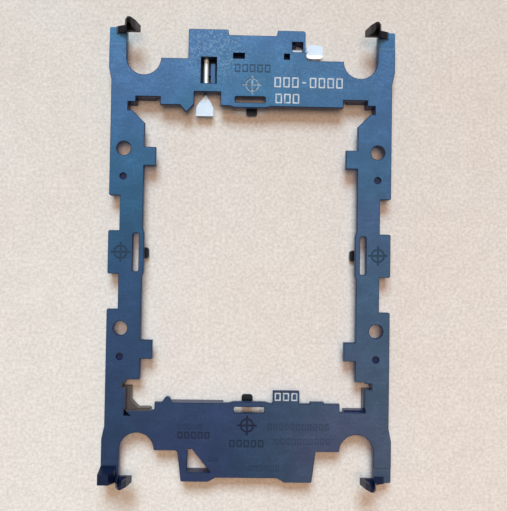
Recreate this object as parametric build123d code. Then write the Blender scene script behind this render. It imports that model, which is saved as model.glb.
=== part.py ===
from build123d import *
import os

# A processor carrier: one moulded frame that ties a processor package to its heatsink, and
# the bent wire lever that prises the two apart.
# Lengths are in millimetres. The origin is the middle of the processor window, on the plane
# that the frame lies on. +Y runs to the lever's end, +Z to the heatsink.
# The plan grows outwards from the package: each place is measured from the window's edge, a
# shoulder, the lever or the edge of the feature that carries it.

# Processor package that the frame carries
package_width = 56.5
package_length = 77.5
package_side_gap = 0.15
package_end_gap = 0.65
package_bite = 1.15

# Overall plan, outwards from the window's edge
rail_width = 9.05
crossbar_depth = 12.5
arm_reach = 8.0
arm_width = 4.65
arm_flare = 0.7
flare_setback = 6.15
flare_length = 3.3
nut_notch_radius = 4.55

# Heights, up from the plane that the frame lies on
frame_depth = 5.2
plate_thickness = 1.9
arm_thickness = 2.4
wall = 1.2
edge_chamfer = 0.15
overrun = 1.0

# Side rails
mark_block_length = 11.5
side_notch_length = 9.25
side_notch_depth = 2.9
rail_corner_radius = 0.45
seat_tab_reach = 3.1
seat_tab_length = 4.95
seat_tab_setback = 13.85
rail_rim_setback = 1.3

# Locating holes and dimples in the rails
locating_inset = 3.65
locating_pitch = 47.6
locating_shift = 3.75
locating_radius = 1.85
dimple_offset = 7.45
dimple_radius = 1.0
dimple_depth = 0.9

# Window corners: how far they reach along the crossbars and into the rails
corner_reach = 4.0
relief_reach = 4.55
corner_wall_overlap = 2.6
corner_wall_reach = 5.75

# Window corners at the lever's end
top_recess_width = 2.5
top_recess_height = 2.05
top_relief_length = 2.25
top_relief_drop = 1.45
corner_slope = 3.35
corner_slope_radius = 0.8

# Window corners at the far end, where the left one is cut back to bare the wall below
low_recess_depth = 2.1
low_recess_rise = 5.9
left_recess_width = 3.6
right_recess_width = 2.8
low_relief_rise = 3.8
left_relief_rise = 5.0
right_relief_rise = 5.55
low_wall_drop = 1.75
corner_brace = 1.9
corner_eye_leg = 1.95
corner_eye_inset = 4.05
corner_eye_drop = 1.65
corner_eye_depth = 3.6

# Spring strips with snap heads
strip_thickness = 0.95
strip_slot_width = 1.6
strip_slot_radius = 0.45
strip_bow_reach = 0.4
strip_bow_run = 1.45
strip_bow_radius = 3.0
side_slot_length = 10.1
end_slot_length = 8.1
end_slot_shift = 0.5
snap_head_length = 2.95
snap_head_height = 1.3
snap_head_radius = 0.75
snap_lead = 0.7

# Lever housing on the upper crossbar
housing_left_setback = 7.25
housing_right_setback = 10.35
housing_rise = 7.95
housing_corner_radius = 0.7
housing_root_radius = 1.4
housing_root_length = 2.6
dip_depth = 1.45
dip_half_width = 6.4
dip_slope = 0.2
dip_corner_radius = 0.3

# Skirt on the lower crossbar, with a drain hole by its left foot
skirt_setback = 6.2
skirt_taper = 1.0
skirt_drop = 8.1
skirt_root_radius = 0.9
skirt_root_length = 2.4
skirt_dip_depth = 1.1
skirt_dip_half = 8.0
skirt_dip_slope = 2.1
skirt_corner_radius = 0.35
drain_side_setback = 2.65
drain_foot_setback = 2.4
drain_width = 6.0
drain_height = 6.1
drain_tip = 1.25
drain_radius = 0.25
drain_point_radius = 0.12

# Inner edge of the lower crossbar
label_tab_left = 6.7
label_tab_right = 13.75
label_tab_reach = 3.3
label_tab_bevel = 0.6
knuckle_setback = 3.3
knuckle_width = 2.9
knuckle_reach = 2.0
knuckle_radius = 0.75
pip_setback = 6.0
pip_width = 3.7
pip_reach = 0.5

# Walls below the crossbars' plate, and the bays between them
wall_setback = 1.0
flush_wall_setback = 2.4
flush_wall_right = 6.4
corner_bay_overlap = 2.8
corner_bay_reach = 2.2
bar_rim_reach = 3.4

# Release lever: a round wire with two coined ends
wire_radius = 0.65
running_gap = 0.05
lever_setback = 4.7
arm_rise = 3.05
bend_radius = 1.4
blade_width = 4.6
blade_straight = 2.5
blade_arch = 3.1
blade_reach = 2.4
blade_shift = 0.24
blade_thickness = 0.5
finger_gap = 0.5
finger_length = 4.35
finger_width = 3.75
finger_crown = 0.25
finger_thickness = 0.6
finger_radius = 0.75
coin_length = 1.3
coin_lap = 0.6

# How the frame holds the lever
lever_slot_left = 1.25
lever_slot_right = 2.85
lever_slot_setback = 2.3
lever_slot_end = 2.65
lever_bay_left = 2.05
lever_bay_right = 3.55
middle_bay_gap = 1.7
keeper_width = 1.1
keeper_length = 5.7
keeper_gap = 0.65
keeper_lip_height = 1.0
keeper_lip_reach = 0.6
ledge_height = 0.6
ledge_bite = 0.05
channel_room = 0.35
arm_exit_room = 1.1
catch_window_inset = 0.7
catch_window_width = 2.8
catch_window_below = 0.85
catch_window_above = 1.85
catch_overlap = 0.3
catch_width = 1.4
catch_height = 1.5

# Notch for the blade in the upper crossbar's inner edge, and the point beside it
blade_notch_left = 3.0
blade_notch_right = 4.05
blade_notch_depth = 3.65
point_gap = 0.25
point_width = 3.45
point_reach = 1.95
point_radius = 0.4

# Blind pockets in the housing
pocket_depth = 3.4
pocket_width = 1.7
pocket_rise = 0.1
long_pocket_setback = 7.15
long_pocket_length = 3.2
short_pocket_setback = 4.1
short_pocket_length = 1.65

# Arms and their latch hooks
arm_step_length = 4.05
arm_step_depth = 0.3
hook_tip_height = 8.85
hook_depth = 1.8
hook_face_setback = 1.7
hook_root_overhang = 0.8
hook_barb_reach = 3.7
hook_barb_height = 0.9
hook_shoulder_reach = 2.9
hook_shoulder_height = 5.4
hook_crown_reach = 1.6
hook_crown_radius = 0.5
hook_back_reach = 0.3
hook_back_height = 5.9
hook_rim = 0.4
hook_flank = 0.9
hook_floor = 2.2
hook_core_radius = 0.25
hook_back = 0.5
gusset_length = 2.9
gusset_height = 1.7

# Key block on one arm's end
key_height = 4.6
key_length = 3.75
key_width = 4.0
key_ramp = 1.15
key_slope = 1.2
key_slope_drop = 2.3

# Engraved target marks
target_radius = 1.65
target_arm = 2.6
target_line = 0.5
target_depth = 0.2
end_target_setback = 5.75
side_target_inset = 3.4

# Window and rails
window_x = package_width / 2 + package_side_gap
window_y = package_length / 2 + package_end_gap
rail_outer = window_x + rail_width
notch_floor = rail_outer - side_notch_depth
notch_end = mark_block_length / 2 + side_notch_length
rim_start = notch_end + rail_rim_setback
hole_x = rail_outer - locating_inset
side_target_x = rail_outer - side_target_inset
seat_tab_y = window_y - seat_tab_setback

# Crossbars, arms and their ends
shoulder = window_y + crossbar_depth
flare_start = shoulder - flare_setback
arm_outer = rail_outer + arm_flare
arm_inner = arm_outer - arm_width
arm_end = shoulder + arm_reach
nut_x = arm_inner - nut_notch_radius
bar_half = window_x - corner_reach
bar_rim = window_x + bar_rim_reach
end_target_y = window_y + end_target_setback

# Window corners
relief_x = window_x + relief_reach
corner_wall_in = window_x - corner_wall_overlap
corner_wall_out = window_x + corner_wall_reach
top_recess_x = window_x + top_recess_width
top_recess_y = window_y + top_recess_height
top_relief_high = top_recess_y - top_relief_drop
top_relief_low = top_relief_high - top_relief_length
low_recess_y = window_y + low_recess_depth
low_wall_y = window_y + low_wall_drop
low_relief_y = window_y - low_relief_rise
eye_x = window_x + corner_eye_inset
eye_top = window_y + corner_eye_drop
eye_floor = eye_top + corner_eye_leg

# Housing, skirt and what is set in them
housing_left = bar_half - housing_left_setback
housing_right = bar_half - housing_right_setback
housing_y = shoulder + housing_rise
dip_y = housing_y - dip_depth
skirt_top = bar_half - skirt_setback
skirt_foot = skirt_top - skirt_taper
skirt_y = shoulder + skirt_drop
skirt_dip_y = skirt_y - skirt_dip_depth
drain_left = skirt_top - drain_side_setback
drain_low = skirt_y - drain_foot_setback
drain_top = drain_low - drain_height

# Lever and its seats
plate_floor = frame_depth - plate_thickness
wire_height = plate_floor - running_gap - wire_radius
lever_x = housing_left - lever_setback
arm_y = shoulder + arm_rise
blade_tip = window_y - blade_reach
blade_point = blade_tip + blade_straight + blade_arch
finger_start = housing_right + finger_gap
blade_notch_y = window_y + blade_notch_depth
slot_low = blade_notch_y + lever_slot_setback
slot_high = arm_y - lever_slot_end
bay_left = lever_x + lever_bay_left
bay_right = lever_x - lever_bay_right
channel_low = arm_y - wire_radius - channel_room
catch_window_right = housing_right - catch_window_inset
catch_window_left = catch_window_right - catch_window_width

# Walls round the spring strips and the slots
rim_y = window_y + wall_setback
strip_room_x = end_slot_length / 2 + end_slot_shift + wall_setback
strip_room_y = window_y + strip_thickness + strip_slot_width + wall_setback


def shape(*corners):
    """Face through corners given as (x, y) or (x, y, corner radius)."""
    points = [corner[:2] for corner in corners]
    radii = [corner[2] if len(corner) > 2 else 0 for corner in corners]
    return make_face(FilletPolyline(*points, radius=radii, close=True).edges())


def block(x_low, x_high, y_low, y_high):
    """Rectangle between two places on each axis."""
    middle = ((x_low + x_high) / 2, (y_low + y_high) / 2)
    return Pos(*middle) * Rectangle(x_high - x_low, y_high - y_low)


def raised(face, low, high):
    """Solid over a face, from one height to another."""
    return extrude(Pos(0, 0, low) * face, amount=high - low)


def both_sides(item):
    """An item and its mirror image on the other side rail."""
    return item + mirror(item, about=Plane.YZ)


def both_ends(item):
    """An item and its mirror image at the other end."""
    return item + mirror(item, about=Plane.XZ)


def rail_plan():
    """Side rails, joined across the window, with the blocks between their notches."""
    stem = Rectangle(2 * notch_floor, 2 * notch_end + 2 * rail_corner_radius)
    mark_block = RectangleRounded(2 * rail_outer, mark_block_length, rail_corner_radius)
    length = shoulder - notch_end
    reach = Pos(0, notch_end + length / 2) * RectangleRounded(2 * rail_outer, length, rail_corner_radius)
    return stem + mark_block + both_ends(reach)


def arm_plan():
    """Four arms, each flaring out from its rail."""
    arm = shape(
        (rail_outer - arm_width, flare_start),
        (rail_outer, flare_start),
        (arm_outer, flare_start + flare_length),
        (arm_outer, arm_end, rail_corner_radius),
        (arm_inner, arm_end),
        (arm_inner, flare_start + flare_length),
    )
    return both_ends(both_sides(arm))


def bar_plan():
    """Square shoulders of the two crossbars, out to the nut notches' middles."""
    return Rectangle(2 * nut_x, 2 * shoulder)


def housing_plan():
    """Lever housing that stands out of the upper crossbar, with a dip in its edge."""
    dip_outer = dip_half_width + dip_slope
    return shape(
        (-housing_left, shoulder - wall),
        (-housing_left, housing_y, rail_corner_radius),
        (-dip_outer, housing_y, dip_corner_radius),
        (-dip_half_width, dip_y, dip_corner_radius),
        (dip_half_width, dip_y, dip_corner_radius),
        (dip_outer, housing_y, dip_corner_radius),
        (housing_right, housing_y, housing_corner_radius),
        (housing_right, shoulder, housing_root_radius),
        (housing_right + housing_root_length, shoulder),
        (housing_right + housing_root_length, shoulder - wall),
    )


def skirt_plan():
    """Skirt below the lower crossbar, with slanted sides and two feet."""
    dip_outer = skirt_dip_half + skirt_dip_slope
    return shape(
        (-skirt_top - skirt_root_length, wall - shoulder),
        (-skirt_top - skirt_root_length, -shoulder),
        (-skirt_top, -shoulder, skirt_root_radius),
        (-skirt_foot, -skirt_y, skirt_corner_radius),
        (-dip_outer, -skirt_y, skirt_corner_radius),
        (-skirt_dip_half, -skirt_dip_y, skirt_corner_radius),
        (skirt_dip_half, -skirt_dip_y, skirt_corner_radius),
        (dip_outer, -skirt_y, skirt_corner_radius),
        (skirt_foot, -skirt_y, skirt_corner_radius),
        (skirt_top, -shoulder),
        (skirt_top, wall - shoulder),
    )


def upper_corner_plan():
    """Recess, relief and sloped edge in a window corner at the lever's end."""
    slope_foot = top_relief_low - corner_slope
    return shape(
        (bar_half, slope_foot),
        (window_x, slope_foot, corner_slope_radius),
        (window_x + corner_slope, top_relief_low),
        (relief_x, top_relief_low),
        (relief_x, top_relief_high),
        (top_recess_x, top_relief_high),
        (top_recess_x, top_recess_y),
        (bar_half, top_recess_y),
    )


def lower_corner_plan(recess_width, relief_rise):
    """Square recess with a relief slot in a window corner at the far end."""
    reach = window_x + recess_width
    start = low_recess_rise - window_y
    relief_start = relief_rise - window_y
    return shape(
        (bar_half, start),
        (reach, start),
        (reach, relief_start),
        (relief_x, relief_start),
        (relief_x, -low_relief_y),
        (reach, -low_relief_y),
        (reach, -low_recess_y),
        (bar_half, -low_recess_y, rail_corner_radius),
    )


def window_plan():
    """The opening that the processor's lid shows through."""
    opening = Rectangle(2 * window_x, 2 * window_y)
    opening += both_sides(upper_corner_plan())
    opening += lower_corner_plan(right_recess_width, right_relief_rise)
    opening += mirror(lower_corner_plan(left_recess_width, left_relief_rise), about=Plane.YZ)
    return opening + blade_notch(0)


def blade_notch(margin):
    """Notch that the blade lies in, out to a margin round it."""
    left = -lever_x - blade_notch_left - margin
    right = -lever_x + blade_notch_right + margin
    return block(left, right, 0, blade_notch_y + margin)


def inner_tabs():
    """What stands out into the window: seat tabs, the point, the knuckle, the pip and the label tab."""
    tab_low = seat_tab_y - seat_tab_length / 2
    seat_tab = block(window_x - seat_tab_reach, window_x + wall, tab_low, tab_low + seat_tab_length)
    point_x = -lever_x - blade_notch_left - point_gap - point_width / 2
    knuckle_x = knuckle_setback - bar_half
    pip_left = bar_half - pip_setback - pip_width / 2
    tabs = both_ends(both_sides(seat_tab))
    tabs += strip_places(strip_bow(side_slot_length), strip_bow(end_slot_length))
    tabs += peak(point_x, point_width, window_y, -point_reach, point_radius)
    tabs += peak(knuckle_x, knuckle_width, -window_y, knuckle_reach, knuckle_radius)
    tabs += block(pip_left, pip_left + pip_width, -window_y - wall, pip_reach - window_y)
    tabs += block(label_tab_left, label_tab_right, -window_y - wall, label_tab_reach - window_y)
    return tabs


def peak(x_middle, width, edge_y, reach, radius):
    """Three-cornered tooth with a rounded tip, rooted in a crossbar behind its edge."""
    root_y = edge_y + wall if edge_y > 0 else edge_y - wall
    return shape(
        (x_middle - width / 2, root_y),
        (x_middle - width / 2, edge_y),
        (x_middle, edge_y + reach, radius),
        (x_middle + width / 2, edge_y),
        (x_middle + width / 2, root_y),
    )


def drain_plan():
    """Three-cornered hole in the skirt, with a blunt upper corner."""
    return shape(
        (-drain_left, -drain_top, drain_radius),
        (drain_tip - drain_left, -drain_top, drain_radius),
        (drain_width - drain_left, drain_radius - drain_low, drain_point_radius),
        (drain_width - drain_left, -drain_low, drain_point_radius),
        (-drain_left, -drain_low, drain_radius),
    )


def corner_eye_plan():
    """Small three-cornered hole beside a window corner."""
    return shape(
        (-eye_x, -eye_top),
        (-eye_x, -eye_floor),
        (corner_eye_leg - eye_x, -eye_floor),
    )


def strip_slots():
    """Slots that free the four spring strips."""
    return strip_places(strip_slot(side_slot_length), strip_slot(end_slot_length))


def strip_slot(length):
    """Slot behind a spring strip, along Y, measured from the window's straight edge."""
    middle = strip_thickness + strip_slot_width / 2
    return Pos(middle, 0) * RectangleRounded(strip_slot_width, length, strip_slot_radius)


def strip_bow(length):
    """Slight bow of a spring strip into the window, along Y and towards -X."""
    half = length / 2
    return shape(
        (strip_thickness, -half - strip_bow_run),
        (0, -half - strip_bow_run),
        (-strip_bow_reach, -half, strip_bow_radius),
        (-strip_bow_reach, half, strip_bow_radius),
        (0, half + strip_bow_run),
        (strip_thickness, half + strip_bow_run),
    )


def strip_places(side_item, end_item):
    """Items made for a strip along Y, set on the two side strips and the two end strips."""
    top = Pos(-end_slot_shift, window_y) * Rot(0, 0, 90) * end_item
    return both_sides(Pos(window_x, 0) * side_item) + top + Rot(0, 0, 180) * top


def hole_places(offset):
    """The four places of a row of holes in the rails, at an offset from the locating holes."""
    return [
        (side * hole_x, locating_shift + end * locating_pitch / 2 - offset)
        for side in (-1, 1)
        for end in (-1, 1)
    ]


def through_holes():
    """Everything that passes right through the plate apart from the window."""
    holes = strip_slots() + drain_plan()
    for place in hole_places(0):
        holes += Pos(*place) * Circle(locating_radius)
    holes += block(-lever_x - lever_slot_left, lever_slot_right - lever_x, slot_low, slot_high)
    low = arm_y - catch_window_below
    holes += block(catch_window_left, catch_window_right, low, arm_y + catch_window_above)
    return holes


def outer_plan():
    """Outer outline of the plate, filled in across the window."""
    plan = rail_plan() + arm_plan() + bar_plan() + housing_plan() + skirt_plan()
    nut_notch = Pos(nut_x, shoulder) * Circle(nut_notch_radius)
    return plan - both_ends(both_sides(nut_notch))


def plate(plan):
    """The top plate: full thickness at the rails and crossbars, with broken upper edges."""
    solid = raised(plan, plate_floor, frame_depth)
    return chamfer(solid.faces().sort_by(Axis.Z)[-1].edges(), edge_chamfer)


def window_room():
    """Strip round the window, the end slots and the blade that the walls below keep clear of."""
    room = block(-bar_half, bar_half, 0, rim_y)
    room += block(-strip_room_x, strip_room_x, 0, strip_room_y)
    room += both_sides(block(bar_half - wall, corner_wall_in, 0, top_recess_y + wall_setback))
    return both_ends(room) + blade_notch(wall_setback)


def upper_bays():
    """Bays under the upper crossbar, the lever's bay and channel among them."""
    shelf = slot_high - wall / 2
    low = rim_y + wall
    high = shoulder - wall
    left = block(wall - bar_half, -bay_left - wall, low, high)
    middle = block(middle_bay_gap - bay_right, strip_room_x, strip_room_y + wall, shelf)
    right = block(strip_room_x + wall, housing_right - wall, low, shelf)
    far = block(housing_right, bar_half - wall, low, high)
    corner = corner_bay(top_recess_y + wall, high - nut_notch_radius)
    return left + lever_bay() + middle + right + far + both_sides(corner)


def corner_bay(low, high):
    """Bay between a window corner and its nut notch, from one place on Y to another."""
    return block(window_x - corner_bay_overlap, window_x + corner_bay_reach, low, high)


def lever_bay():
    """Bay that the lever's shaft crosses, open above through its slot."""
    return block(-bay_left, -bay_right, slot_low, slot_high)


def lower_bays():
    """Bays under the lower crossbar and its skirt."""
    start = strip_room_x + wall
    high = -rim_y - wall
    foot = wall - skirt_dip_y
    side = block(start, bar_half - wall, wall - shoulder, high)
    side += block(start, skirt_foot - wall, foot, high)
    middle = block(-strip_room_x, strip_room_x, foot, -strip_room_y - wall)
    corner_low = nut_notch_radius + wall - shoulder
    return both_sides(side + corner_bay(corner_low, corner_low + wall)) + middle


def arm_channel():
    """Room for the lever's arm, open below and at the housing's right end."""
    channel = block(wall - housing_left, housing_right - wall, channel_low, dip_y - wall)
    return channel + block(0, housing_right + overrun, channel_low, arm_y + arm_exit_room)


def crossbar_walls(plan):
    """Full-depth walls of both crossbars, left between the bays."""
    ends = both_ends(block(-bar_rim, bar_rim, window_y, skirt_y + overrun))
    walls = (plan & ends) - window_room() - upper_bays() - lower_bays() - arm_channel()
    walls += block(flush_wall_setback - bar_half, -flush_wall_right, -rim_y - wall, -window_y)
    return raised(walls, 0, plate_floor)


def rail_rims():
    """Outer rims that stiffen the rails and the mark blocks from below."""
    rim = block(rail_outer - wall, rail_outer, rim_start, flare_start)
    mark_rim = block(rail_outer - wall, rail_outer, 0, mark_block_length / 2 - rail_rim_setback)
    return raised(both_ends(both_sides(rim + mark_rim)), 0, plate_floor)


def corner_walls():
    """Full-depth walls round the four window corners."""
    upper = block(corner_wall_in, corner_wall_out, top_relief_low, top_recess_y + wall)
    upper = both_sides(upper - upper_corner_plan())
    lower_low = -low_recess_y - wall
    lower = block(top_recess_x, corner_wall_out, lower_low, -low_relief_y)
    lower += block(corner_wall_in, top_recess_x, lower_low, -low_wall_y)
    lower += block(relief_x, corner_wall_out, -low_relief_y, left_relief_rise - window_y)
    brace = shape(
        (-top_recess_x, -low_wall_y),
        (-top_recess_x, corner_brace - low_wall_y),
        (corner_brace - top_recess_x, -low_wall_y),
    )
    eye_in = window_x - corner_bay_overlap
    eye_block = block(-corner_wall_out, -eye_in, -eye_floor - wall, -low_recess_y)
    return raised(upper + both_sides(lower) + brace + eye_block, 0, plate_floor)


def snap_head(bite):
    """Barb that catches the package's lower face, pointing along -X from a strip's face."""
    head = block(-bite, 0, -snap_head_length / 2, snap_head_length / 2)
    head = fillet(head.vertices().group_by(Axis.X)[0], snap_head_radius)
    solid = raised(head, 0, snap_head_height)
    lead = Plane.XZ * shape((-bite, 0), (snap_lead - bite, 0), (-bite, snap_lead))
    return solid - extrude(lead, amount=snap_head_length, both=True)


def snap_stem(gap):
    """Stem that hangs from a strip's middle and carries the snap head, a gap off the package."""
    stem = block(0, strip_thickness, -snap_head_length / 2, snap_head_length / 2)
    return raised(stem, 0, plate_floor) + snap_head(gap + package_bite)


def snap_stems():
    """The four snap heads on their stems."""
    side = Pos(window_x, 0) * snap_stem(package_side_gap)
    end = Pos(0, window_y) * Rot(0, 0, 90) * snap_stem(package_end_gap)
    return both_sides(side) + both_ends(end)


def lever_seats():
    """Cut for the shaft: round crowned grooves, open below, in the walls it passes through."""
    radius = wire_radius + running_gap
    groove = Circle(radius) + block(-radius, radius, -frame_depth, 0)
    start = blade_notch_y - overrun
    run = extrude(Plane.XZ * groove, amount=start - arm_y)
    return Pos(-lever_x, start, wire_height) * run


def lever_keeper():
    """Cantilever beside the shaft with a lip below it, which keeps the lever in its seats."""
    x_low = keeper_gap + wire_radius - lever_x
    end = slot_low + keeper_length
    lip_high = wire_height - wire_radius - running_gap
    lip_low = lip_high - keeper_lip_height
    finger = raised(block(x_low, x_low + keeper_width, slot_low - wall / 2, end), lip_low, plate_floor)
    lip = block(-lever_x - keeper_lip_reach, x_low, slot_low + keeper_length / 2, end)
    return finger + raised(lip, lip_low, lip_high)


def bay_ledges():
    """Ledges that close the lever's bay below, all but the line the shaft is pressed in through."""
    half_gap = wire_radius - ledge_bite
    line = block(-lever_x - half_gap, half_gap - lever_x, 0, arm_end)
    return raised(lever_bay() - line, 0, ledge_height)


def arm_catch():
    """Nub on the housing's rim that the arm is pressed past to lock it."""
    y_low = arm_y + wire_radius + running_gap
    x_low = catch_window_left - catch_overlap
    nub = block(x_low, x_low + catch_width, y_low, dip_y - wall / 2)
    return raised(nub, plate_floor - catch_height, plate_floor)


def core_pockets():
    """Blind pockets: two over the wall beside the lever's channel and one at a window corner."""
    low = shoulder + pocket_rise
    high = low + pocket_width
    long_left = long_pocket_setback - lever_x
    short_right = housing_right - short_pocket_setback
    pockets = block(long_left, long_left + long_pocket_length, low, high)
    pockets += block(short_right - short_pocket_length, short_right, low, high)
    cut = raised(pockets, frame_depth - pocket_depth, frame_depth + overrun)
    return cut + raised(corner_eye_plan(), frame_depth - corner_eye_depth, frame_depth + overrun)


def target_mark():
    """Engraved ring with four crossing lines, a plain press-here mark."""
    ring = Circle(target_radius + target_line / 2) - Circle(target_radius - target_line / 2)
    cross = Rectangle(2 * target_arm, target_line) + Rectangle(target_line, 2 * target_arm)
    return raised(ring + cross, frame_depth - target_depth, frame_depth + overrun)


def target_marks():
    """The four target marks, one on the middle of each side."""
    side = both_sides(Pos(side_target_x, 0) * target_mark())
    return side + both_ends(Pos(0, end_target_y) * target_mark())


def dimples():
    """Shallow round dimples beside the locating holes."""
    marks = [Pos(*place) * Circle(dimple_radius) for place in hole_places(dimple_offset)]
    return [raised(mark, frame_depth - dimple_depth, frame_depth + overrun) for mark in marks]


def arms_relief():
    """What is cut from the arms: the step across each arm's upper face near its end."""
    step = block(arm_inner - overrun, arm_outer + overrun, arm_end - arm_step_length, arm_end + overrun)
    cut = raised(step, frame_depth - arm_step_depth, frame_depth + overrun)
    return both_ends(both_sides(cut))


def arm_bars():
    """The lower part that makes the four arms thicker than the plate."""
    reach = block(arm_inner, arm_outer, shoulder, arm_end)
    bars = raised(reach, frame_depth - arm_thickness, plate_floor)
    return both_ends(both_sides(bars))


def hook_profile():
    """Fin seen from the window: u runs inwards from the arm's inner edge, v up from the plate."""
    return shape(
        (-hook_root_overhang, 0),
        (hook_back_reach, hook_back_height, hook_crown_radius),
        (hook_crown_reach, hook_tip_height, hook_crown_radius),
        (hook_shoulder_reach, hook_shoulder_height, hook_crown_radius),
        (hook_barb_reach, hook_barb_height),
        (0, hook_barb_height),
        (0, 0),
    )


def hook_hollow():
    """What is cored out of the fin: open above and towards the window."""
    return shape(
        (hook_rim, hook_floor, hook_core_radius),
        (hook_back_reach + hook_rim, hook_back_height),
        (hook_crown_reach - hook_rim, hook_tip_height + overrun),
        (hook_crown_reach + hook_rim, hook_tip_height + overrun),
        (hook_shoulder_reach - hook_flank, hook_shoulder_height),
        (hook_barb_reach - hook_flank, hook_floor, hook_core_radius),
    )


def latch_hook():
    """Hollow hook at an arm's end, with a gusset along the arm."""
    face_y = arm_end - hook_face_setback
    front = Plane((arm_inner, face_y, frame_depth), x_dir=(-1, 0, 0), z_dir=(0, 1, 0))
    hook = extrude(front * hook_profile(), amount=hook_depth)
    root = block(arm_inner, arm_inner + hook_root_overhang, face_y, face_y + hook_depth)
    hook += raised(root, frame_depth - arm_thickness, frame_depth)
    hook -= extrude(front * hook_hollow(), amount=hook_depth - hook_back)
    gusset = shape(
        (0, -arm_step_depth),
        (0, gusset_height),
        (-gusset_length, 0),
        (-gusset_length, -arm_step_depth),
    )
    return hook + extrude(front * gusset, amount=hook_depth)


def orientation_key():
    """Raised block on one arm's end that keys the frame to its heatsink."""
    base = block(arm_outer - key_width, arm_outer, arm_end - key_length, arm_end)
    solid = raised(base, frame_depth - arm_thickness, frame_depth + key_height)
    ramp = Plane.YZ * shape(
        (arm_end - key_length, frame_depth),
        (arm_end - key_length, frame_depth + key_height),
        (arm_end - key_length + key_ramp, frame_depth + key_height),
    )
    solid -= extrude(ramp, amount=arm_outer + overrun)
    slope = Plane.XZ * shape(
        (arm_outer - key_width, frame_depth + key_height - key_slope_drop),
        (arm_outer - key_width, frame_depth + key_height),
        (arm_outer - key_width + key_slope, frame_depth + key_height),
    )
    solid -= extrude(slope, amount=-arm_end - overrun)
    return Rot(0, 0, 180) * solid


def label_bevel():
    """Slope across the label tab's front edge."""
    tip = label_tab_reach - window_y
    bevel = Plane.YZ * shape(
        (tip, plate_floor),
        (tip, frame_depth),
        (tip - label_tab_bevel, frame_depth),
    )
    return Pos(label_tab_left) * extrude(bevel, amount=label_tab_right - label_tab_left)


def carrier_frame():
    """The whole moulding as one solid."""
    outer = outer_plan()
    opening = window_plan() - inner_tabs()
    holes = through_holes()
    frame = plate(outer - opening - holes) + crossbar_walls(outer - opening)
    frame += rail_rims() + corner_walls() + arm_bars()
    frame -= raised(holes, -overrun, frame_depth + overrun)
    frame += snap_stems() + bay_ledges()
    frame -= core_pockets() + target_marks()
    frame -= dimples()
    frame -= lever_seats()
    frame -= arms_relief()
    frame -= label_bevel()
    frame += lever_keeper() + arm_catch()
    return frame + both_ends(both_sides(latch_hook())) + orientation_key()


def blade():
    """Spade end: straight sides that close in a pointed arch where the round shaft begins."""
    half = blade_width / 2
    root = blade_tip + blade_straight
    sides = Polyline((-half, root), (-half, blade_tip), (half, blade_tip), (half, root))
    right = TangentArc((half, root), (0, blade_point), tangent=(0, 1))
    left = TangentArc((-half, root), (0, blade_point), tangent=(0, 1))
    outline = make_face((sides + right + left).edges())
    return extrude(outline, amount=blade_thickness / 2, both=True)


def finger_tab():
    """Coined finger end with gently crowned long sides."""
    half = finger_width / 2
    crown = half - finger_crown
    end = finger_start + finger_length
    middle = finger_start + finger_length / 2
    upper = ThreePointArc((finger_start, crown), (middle, half), (end, crown))
    lower = ThreePointArc((finger_start, -crown), (middle, -half), (end, -crown))
    sides = Line((end, crown), (end, -crown)) + Line((finger_start, crown), (finger_start, -crown))
    outline = make_face((upper + lower + sides).edges())
    outline = fillet(outline.vertices(), finger_radius)
    return extrude(outline, amount=finger_thickness / 2, both=True)


def coined_neck(half_thickness):
    """Taper from the round wire down to a coined end's thickness, along +Z."""
    return Cone(wire_radius, half_thickness, coin_length, align=(Align.CENTER, Align.CENTER, Align.MIN))


def release_lever():
    """The bent wire with its blade and finger tab, level at rest."""
    neck = coin_length - coin_lap
    start = (0, blade_point + neck)
    corner = (0, arm_y)
    end = (finger_start + lever_x - neck, arm_y)
    route = FilletPolyline(start, corner, end, radius=bend_radius)
    section = Plane(origin=route @ 0, z_dir=route % 0) * Circle(wire_radius)
    lever = sweep(section, path=route)
    lever += Pos(*start) * Rot(90, 0, 0) * coined_neck(blade_thickness / 2)
    lever += Pos(*end) * Rot(0, 90, 0) * coined_neck(finger_thickness / 2)
    lever += Pos(-blade_shift) * blade()
    lever += Pos(lever_x, arm_y) * finger_tab()
    return Pos(-lever_x, 0, wire_height) * lever


os.makedirs("parts", exist_ok=True)
export_step(carrier_frame(), "parts/carrier_frame.step")
export_step(release_lever(), "parts/release_lever.step")
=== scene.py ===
"""Studio scene of a processor carrier: a moulded plastic frame with a bent wire release lever.

The scene's frame is the CAD model's: +Z towards the heatsink, +Y towards the lever's end, origin
in the middle of the processor window on the plane that the frame lies on. Lengths are in metres,
except where a class says that its sizes are in millimetres.
"""

import logging
import math
from dataclasses import dataclass, field
from enum import Enum
from typing import Optional, Sequence, Union

import bmesh
import bpy
from mathutils import Matrix, Vector


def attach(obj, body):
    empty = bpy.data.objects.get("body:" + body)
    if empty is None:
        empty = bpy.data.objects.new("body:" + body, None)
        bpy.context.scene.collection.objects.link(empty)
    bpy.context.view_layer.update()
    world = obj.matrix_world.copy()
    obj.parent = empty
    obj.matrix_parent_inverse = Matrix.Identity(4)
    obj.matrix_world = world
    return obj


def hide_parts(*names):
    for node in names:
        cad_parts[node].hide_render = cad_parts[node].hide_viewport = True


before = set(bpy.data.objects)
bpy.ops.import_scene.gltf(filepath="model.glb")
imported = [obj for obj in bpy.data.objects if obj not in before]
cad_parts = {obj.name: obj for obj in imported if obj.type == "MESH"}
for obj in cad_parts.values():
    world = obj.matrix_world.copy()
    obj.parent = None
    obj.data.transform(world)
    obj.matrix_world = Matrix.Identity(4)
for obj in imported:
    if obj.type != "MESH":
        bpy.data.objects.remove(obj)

log = logging.getLogger("carrier")

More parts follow.
